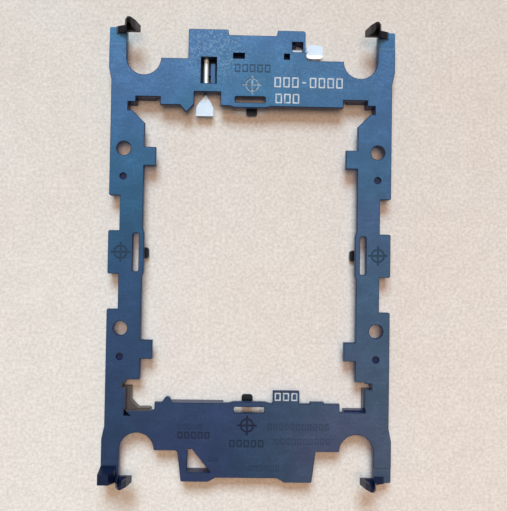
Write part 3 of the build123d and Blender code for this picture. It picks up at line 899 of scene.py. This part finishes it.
@dataclass
class Finishes:
    """Every material, built once from the shared effects."""

    # Painted shade: the raised moulded marks take darker copies of the plastic, the bold ones darker than
    # the faint ones
    bold_marks_shade: float = 0.42
    faint_shade: float = 0.75
    effects: SharedEffects = field(default_factory=SharedEffects)
    plastic: Material = field(init=False)
    marks: Material = field(init=False)
    faint_shaded_marks: Material = field(init=False)
    steel: Material = field(init=False)
    ink: Material = field(init=False)
    cloth: Material = field(init=False)

    def __post_init__(self) -> None:
        """Builds the materials."""
        self.plastic = self.plastic_of("satin_blue_plastic", 1.0)
        self.marks = self.plastic_of("moulded_shaded_marks", self.bold_marks_shade)
        self.faint_shaded_marks = self.plastic_of("faint_shaded_marks", self.faint_shade)
        # The steel, with a painted highlight on its shaft
        steel = SpringSteel("bright_spring_steel", colour=from_screen(182, 195, 208),
                            shaft_highlight=from_screen(236, 244, 250))
        ink = PaleInk("pale_ink", colour=from_screen(204, 212, 220), plastic=from_screen(96, 124, 152))
        cloth = TableCloth("pale_table", warm=from_screen(229, 217, 209), cool=from_screen(231, 227, 221))
        self.steel, self.ink, self.cloth = (finish.build(self.effects) for finish in (steel, ink, cloth))

    def plastic_of(self, name: str, depth: float) -> Material:
        """The frame's plastic, or a copy whose upper face is painted darker, as painted shade on raised
        marks.

        Args:
            name: the material's name.
            depth: the share of the upper face's tones that is left under the painted shade, 1 for the
                plastic itself.

        Returns:
            The material.
        """
        # Upper face tones, far end to lever's end, left and right: the blue with painted shade and
        # painted sheen
        left = (from_screen(44, 62, 98), from_screen(42, 91, 132), from_screen(74, 127, 177))
        right = (from_screen(76, 88, 113), from_screen(65, 97, 137), from_screen(67, 119, 166))
        finish = SatinPlastic(
            name,
            left_painted_tones=tuple(tuple(depth * value for value in tone) for tone in left),
            right_painted_tones=tuple(tuple(depth * value for value in tone) for tone in right),
            # Engraved marks: painted shade, a middle tone and a painted highlight
            groove_shade_and_highlight_tones=(from_screen(8, 14, 50), from_screen(16, 52, 78), from_screen(158, 188, 214)),
            # Far corner bays: painted shade
            corner_shade_tones=(from_screen(80, 71, 68), from_screen(62, 78, 104)),
            # Standing hooks: painted shade and painted reflection
            hook_shade_tones=(from_screen(13, 25, 56), from_screen(27, 18, 21)),
            # Sunk floors and walls: painted shade
            sunk_floor_shade=from_screen(4, 12, 68),
            wall=from_screen(20, 40, 74),
            underside=from_screen(46, 84, 124),
            keeper=from_screen(62, 104, 146),
            # Painted highlight of glints and of the arms' step
            painted_highlight=from_screen(176, 205, 228),
            # Snap heads' tops: painted shade
            snap_head_shade=from_screen(6, 3, 8),
        )
        return finish.build(self.effects)

    def of_marks(self, relief: Relief) -> Material:
        """The material of a kind of mark."""
        choice = {Relief.PRINTED: self.ink, Relief.BOLD: self.marks, Relief.FAINT: self.faint_shaded_marks}
        return choice[relief]


# Meshes


@dataclass(frozen=True)
class RoundedBox:
    """Outline of a rounded rectangle, worked out as points."""

    width: float
    length: float
    corner: float
    steps: int
    least_corner: float = 0.2

    def points(self, inset: float = 0.0) -> list[Point]:
        """The outline's points, counter-clockwise.

        Args:
            inset: how far the outline is drawn in on every side.

        Returns:
            The points, the same number for any inset.
        """
        half_x = self.width / 2 - inset
        half_y = self.length / 2 - inset
        radius = max(self.corner - inset, self.least_corner * self.corner)
        found = []
        for turn, (side_x, side_y) in enumerate(((1, 1), (-1, 1), (-1, -1), (1, -1))):
            middle_x = side_x * (half_x - radius)
            middle_y = side_y * (half_y - radius)
            for step in range(self.steps + 1):
                angle = math.radians(QUARTER_TURN * turn + QUARTER_TURN * step / self.steps)
                found.append((middle_x + radius * math.cos(angle), middle_y + radius * math.sin(angle)))
        return found


class Sheet:
    """A mesh under way, built from loops of points."""

    def __init__(self) -> None:
        """Starts an empty mesh."""
        self.mesh = bmesh.new()

    def loop(self, points: Sequence[Point], height: float, place: Matrix) -> list[bmesh.types.BMVert]:
        """Adds one loop of points.

        Args:
            points: the loop in its own plane.
            height: its height above the place's plane.
            place: where the plane lies.

        Returns:
            The loop's vertices.
        """
        return [self.mesh.verts.new(place @ Vector((x, y, height))) for x, y in points]

    def bridge(self, first: Sequence[bmesh.types.BMVert], second: Sequence[bmesh.types.BMVert]) -> None:
        """Joins two loops with a band of faces.

        Args:
            first, second: the loops, of the same length.
        """
        count = len(first)
        for index in range(count):
            after = (index + 1) % count
            self.mesh.faces.new((first[index], first[after], second[after], second[index]))

    def pad(self, box: RoundedBox, height: float, edge: float, place: Matrix) -> None:
        """Adds a raised pad with a broken upper edge.

        Args:
            box: the pad's outline.
            height: how far it stands up.
            edge: the width and height of its broken edge.
            place: where its lower face lies.
        """
        foot = self.loop(box.points(), 0.0, place)
        brow = self.loop(box.points(), height - edge, place)
        crown = self.loop(box.points(edge), height, place)
        self.bridge(foot, brow)
        self.bridge(brow, crown)
        self.mesh.faces.new(crown)
        self.mesh.faces.new(list(reversed(foot)))

    def ring(self, box: RoundedBox, stroke: float, height: float, edge: float, place: Matrix) -> None:
        """Adds a raised hollow outline with broken upper edges.

        Args:
            box: the outer outline.
            stroke: the width of the outline's line.
            height: how far it stands up.
            edge: the width and height of its broken edges.
            place: where its lower face lies.
        """
        profile = ((0.0, 0.0), (0.0, height - edge), (edge, height), (stroke - edge, height),
                   (stroke, height - edge), (stroke, 0.0))
        loops = [self.loop(box.points(inset), level, place) for inset, level in profile]
        for first, second in zip(loops, loops[1:] + loops[:1]):
            self.bridge(first, second)

    def finish(self, name: str, material: Material, body: Body, slot: Slot) -> bpy.types.Object:
        """Turns the mesh into a piece that rides on a body.

        Args:
            name: the piece's name.
            material: its material.
            body: the body that carries it.
            slot: not used.

        Returns:
            The new object.
        """
        bmesh.ops.recalc_face_normals(self.mesh, faces=self.mesh.faces)
        data = bpy.data.meshes.new(name)
        self.mesh.to_mesh(data)
        self.mesh.free()
        piece = bpy.data.objects.new(name, data)
        bpy.context.scene.collection.objects.link(piece)
        data.materials.append(material)
        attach(piece, body.value)
        log.info("piece %s: %d faces on %s", name, len(data.polygons), body.value)
        return piece


def at(x: float, y: float, z: float) -> Matrix:
    """The matrix, in metres, of a place in millimetres."""
    return Matrix.Translation(Vector((x, y, z)) * MM)


# Sub-assemblies


@dataclass(frozen=True)
class MarkRow:
    """A row of plain hollow boxes, one for each character's room. Sizes in millimetres."""

    name: str
    start: Point
    pitch: float
    box_width: float
    box_length: float
    stroke: float
    count: int
    relief: Relief
    dash_at: Optional[int] = None
    plate_top: float = 5.2
    corner_share: float = 0.1
    corner_steps: int = 3
    edge_share: float = 0.25
    dash_share: float = 0.6
    dash_corner_share: float = 0.3
    dash_steps: int = 2

    def build(self, material: Material) -> bpy.types.Object:
        """Builds the row as one piece, with a dash in place of the box at dash_at.

        Args:
            material: what the row is made of.

        Returns:
            The row's object.
        """
        sheet = Sheet()
        row = at(*self.start, self.plate_top)
        height = self.relief.value * MM
        edge = self.edge_share * min(self.relief.value, self.stroke) * MM
        stroke = self.stroke * MM
        corner = self.corner_share * self.box_width * MM
        box = RoundedBox(self.box_width * MM, self.box_length * MM, corner, self.corner_steps)
        dash = RoundedBox(self.dash_share * self.box_width * MM, stroke, self.dash_corner_share * stroke,
                          self.dash_steps)
        for index in range(self.count):
            place = row @ at(self.pitch * index, 0.0, 0.0)
            if index == self.dash_at:
                sheet.pad(dash, height, edge, place)
            else:
                sheet.ring(box, stroke, height, edge, place)
        return sheet.finish(self.name, material, Body.FRAME, Slot.PLASTIC)


@dataclass
class CarrierFrame:
    """The moulded frame and the rows of marks that are moulded or printed on it."""

    node: str = "carrier_frame"

    # Each row: name, start, pitch, box width, box length, stroke, number of boxes, kind of mark
    rows: tuple[MarkRow, ...] = (
        MarkRow("printed_row_long", (6.75, 45.95), 2.36, 1.75, 2.75, 0.36, 8, Relief.PRINTED, dash_at=3),
        MarkRow("printed_row_short", (7.1, 41.6), 2.3, 1.75, 2.6, 0.36, 3, Relief.PRINTED),
        MarkRow("printed_row_tab", (8.0, -37.55), 2.2, 1.6, 2.1, 0.34, 3, Relief.PRINTED),
        MarkRow("moulded_row_top", (-4.0, 49.6), 2.0, 1.5, 2.1, 0.32, 5, Relief.BOLD),
        MarkRow("moulded_row_low", (-3.9, -49.85), 1.9, 1.4, 1.85, 0.32, 5, Relief.BOLD),
        MarkRow("moulded_row_left", (-17.5, -47.8), 1.75, 1.35, 1.8, 0.36, 5, Relief.BOLD),
        MarkRow("moulded_row_left_small", (-17.9, -45.6), 1.4, 1.0, 1.3, 0.22, 5, Relief.FAINT),
        MarkRow("moulded_row_right_upper", (6.0, -45.4), 1.5, 1.05, 1.7, 0.26, 11, Relief.FAINT),
        MarkRow("moulded_row_right_lower", (7.9, -49.2), 1.5, 1.05, 1.6, 0.26, 10, Relief.FAINT),
        MarkRow("moulded_row_skirt", (1.1, -56.3), 1.4, 1.0, 1.5, 0.26, 6, Relief.FAINT),
        MarkRow("moulded_row_drain", (-9.4, -54.1), 1.4, 1.0, 1.1, 0.22, 2, Relief.FAINT),
    )

    def build(self, finishes: Finishes) -> None:
        """Dresses the frame's CAD node and adds its marks.

        Args:
            finishes: the materials.
        """
        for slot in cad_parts[self.node].material_slots:
            slot.material = finishes.plastic
        log.info("node %s: dressed in %s", self.node, finishes.plastic.name)
        for row in self.rows:
            row.build(finishes.of_marks(row.relief))


@dataclass
class ReleaseLever:
    """The bent wire lever, with its blade's arch ground to a point."""

    node: str = "release_lever"
    name: str = "lever_wire"
    blade_root: float = 39.5 * MM
    blade_length: float = 3.1 * MM
    blade_half_width: float = 2.3 * MM
    blade_middle: float = -12.69 * MM
    blade_level: float = 2.6 * MM
    blade_half_thickness: float = 0.25 * MM
    wire_shift: float = 0.24 * MM
    neck_half_width: float = 0.3 * MM
    shoulder_drop: float = 0.25 * MM
    bulge: float = 0.34
    tolerance: float = 0.01 * MM
    share_tolerance: float = 1e-5

    def build(self, finishes: Finishes) -> bpy.types.Object:
        """Builds the wire from the solid, with a pointed blade, and dresses it.

        Args:
            finishes: the materials.

        Returns:
            The wire's object, which stands for the solid.
        """
        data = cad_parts[self.node].data.copy()
        data.name = self.name
        for vertex in data.vertices:
            away = vertex.co.x - self.blade_middle
            share = (vertex.co.y - self.blade_root) / self.blade_length
            if self.on_arch(away, share, vertex.co.z):
                middle = self.blade_middle + self.wire_shift * share
                vertex.co.x = middle + math.copysign(self.pointed_half_width(share), away)
                vertex.co.y -= self.shoulder_drop * (1.0 - share)
        wire = bpy.data.objects.new(self.name, data)
        bpy.context.scene.collection.objects.link(wire)
        data.materials.clear()
        data.materials.append(finishes.steel)
        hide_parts(self.node)
        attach(wire, Body.LEVER.value)
        log.info("piece %s: %d faces on %s", self.name, len(data.polygons), Body.LEVER.value)
        return wire

    def on_arch(self, away: float, share: float, height: float) -> bool:
        """Tells whether a point of the solid lies on the outline of the blade's arch.

        Args:
            away: its distance across from the blade's middle.
            share: its share of the arch's length, from the root.
            height: its height.

        Returns:
            True on the outline of either face, False inside it and elsewhere on the wire.
        """
        on_face = abs(height - self.blade_level) > self.blade_half_thickness - self.tolerance
        if not on_face or not -self.share_tolerance < share < 1.0:
            return False
        return abs(away) > self.round_half_width(share) - self.tolerance

    def round_half_width(self, share: float) -> float:
        """Half the solid's width at a share of the arch's length, where its sides are round arcs."""
        radius = (self.blade_length ** 2 + self.blade_half_width ** 2) / (2 * self.blade_half_width)
        return self.blade_half_width - radius + math.sqrt(radius ** 2 - (share * self.blade_length) ** 2)

    def pointed_half_width(self, share: float) -> float:
        """Half the pointed blade's width at a share of the arch's length, never less than the neck's."""
        pointed = self.blade_half_width * (1.0 - share) * (1.0 + self.bulge * share)
        return max(pointed, self.neck_half_width)


# Set


@dataclass
class Table:
    """Plain pale floor under the part."""

    size: float = 1.6
    level: float = -0.05 * MM

    def build(self, finishes: Finishes) -> None:
        """Builds the floor.

        Args:
            finishes: the materials.
        """
        mesh = bmesh.new()
        half = self.size / 2
        sides = ((-1, -1), (1, -1), (1, 1), (-1, 1))
        mesh.faces.new([mesh.verts.new((x * half, y * half, self.level)) for x, y in sides])
        data = bpy.data.meshes.new("table")
        mesh.to_mesh(data)
        mesh.free()
        table = bpy.data.objects.new("table", data)
        bpy.context.scene.collection.objects.link(table)
        data.materials.append(finishes.cloth)
        log.info("stage table: %.1f m square", self.size)


@dataclass(frozen=True)
class Lamp:
    """A square soft lamp that faces the part. Its power is in watts."""

    name: str
    place: Place
    size: float
    power: float
    colour: Colour
    in_gloss: bool = True

    def build(self) -> None:
        """Hangs the lamp."""
        data = bpy.data.lights.new(self.name, "AREA")
        data.size = self.size
        data.energy = self.power
        data.color = self.colour
        lamp = bpy.data.objects.new(self.name, data)
        lamp.location = self.place
        lamp.rotation_euler = (-Vector(self.place)).to_track_quat("-Z", "Y").to_euler()
        lamp.visible_glossy = self.in_gloss
        bpy.context.scene.collection.objects.link(lamp)


@dataclass
class StudioLight:
    """A cool soft lamp from the lever's end, a warm one above, one below the table, and a pale room."""

    key: Lamp = Lamp("key", (-0.18, 2.04, 2.52), size=1.32, power=90.0, colour=(0.625, 0.85, 1.0))
    ceiling: Lamp = Lamp("ceiling", (0.05, 0.12, 1.55), size=0.7, power=10.0, colour=(1.0, 0.71, 0.52))
    lower: Lamp = Lamp("lower", (0.03, -0.05, -1.5), size=0.8, power=15.0, colour=(1.0, 0.97, 0.93),
                       in_gloss=False)
    room_colour: Colour = (1.0, 0.7, 0.45)
    room_strength: float = 0.15
    backdrop: Colour = from_screen(226, 221, 214)
    backdrop_strength: float = 1.0

    def build(self) -> None:
        """Builds the lamps, and the world: a dim warm room that camera and gloss see as pale."""
        for lamp in (self.key, self.ceiling, self.lower):
            lamp.build()
        world = bpy.data.worlds.new("room")
        world.use_nodes = True
        nodes = Nodes(world.node_tree)
        room = self.background(nodes, self.room_colour, self.room_strength)
        seen = self.background(nodes, self.backdrop, self.backdrop_strength)
        ray = nodes.add("ShaderNodeLightPath")
        plain = nodes.maths("MAXIMUM", ray.outputs["Is Camera Ray"], ray.outputs["Is Glossy Ray"])
        mix = nodes.add("ShaderNodeMixShader")
        output = nodes.add("ShaderNodeOutputWorld")
        for source, target in zip((plain, room, seen), mix.inputs):
            nodes.link(source, target)
        nodes.link(mix.outputs[0], output.inputs["Surface"])
        bpy.context.scene.world = world

    @staticmethod
    def background(nodes: Nodes, colour: Colour, strength: float) -> Socket:
        """Adds a background of one colour.

        Args:
            nodes: the world's Nodes.
            colour: its colour.
            strength: how strongly it shines.

        Returns:
            The background's output.
        """
        node = nodes.add("ShaderNodeBackground")
        node.inputs["Color"].default_value = (*colour, 1.0)
        node.inputs["Strength"].default_value = strength
        return node.outputs[0]


@dataclass
class PhotoCamera:
    """Camera fitted to the photograph: nearly straight down, a little turned.

    The fit gave the turn from the part's axes to the camera's, and the place of the middle of
    the locating holes in the camera's view. Its sizes are in degrees and millimetres, and its
    clipping distances in metres.
    """

    tilt: float = -1.5222
    lean: float = 1.1623
    roll: float = -0.9078
    distance: float = 190.0
    offset: Point = (-0.9426, 4.0622)
    scale: float = 1.02
    holes_middle: Place = (0.0, 3.75, 5.2)
    focal_pixels: float = 731.5
    image_width: int = 507
    sensor: float = 36.0
    clip: Limits = (0.01, 5.0)

    def build(self) -> None:
        """Builds the camera and makes it the scene's."""
        tilt, lean, roll = (Matrix.Rotation(math.radians(angle), 3, axis)
                            for angle, axis in ((self.tilt, "X"), (self.lean, "Y"), (self.roll, "Z")))
        to_camera = tilt @ lean @ roll
        seat = to_camera.transposed() @ Vector((-self.offset[0], -self.offset[1], self.distance))
        place = (seat * self.scale + Vector(self.holes_middle)) * MM
        data = bpy.data.cameras.new("photo_view")
        data.sensor_fit = "HORIZONTAL"
        data.sensor_width = self.sensor
        data.lens = self.focal_pixels * self.sensor / self.image_width
        data.clip_start, data.clip_end = self.clip
        camera = bpy.data.objects.new("photo_view", data)
        camera.matrix_world = Matrix.Translation(place) @ to_camera.transposed().to_4x4()
        bpy.context.scene.collection.objects.link(camera)
        bpy.context.scene.camera = camera
        log.info("camera at %.4f %.4f %.4f", *place)


def main() -> None:
    """Builds the part's dress, its marks and the set."""
    logging.basicConfig(level=logging.INFO, format="%(name)s: %(message)s")
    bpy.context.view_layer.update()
    bpy.context.scene.view_settings.view_transform = "Standard"
    finishes = Finishes()
    CarrierFrame().build(finishes)
    ReleaseLever().build(finishes)
    Table().build(finishes)
    StudioLight().build()
    PhotoCamera().build()


if __name__ == "__main__":
    main()
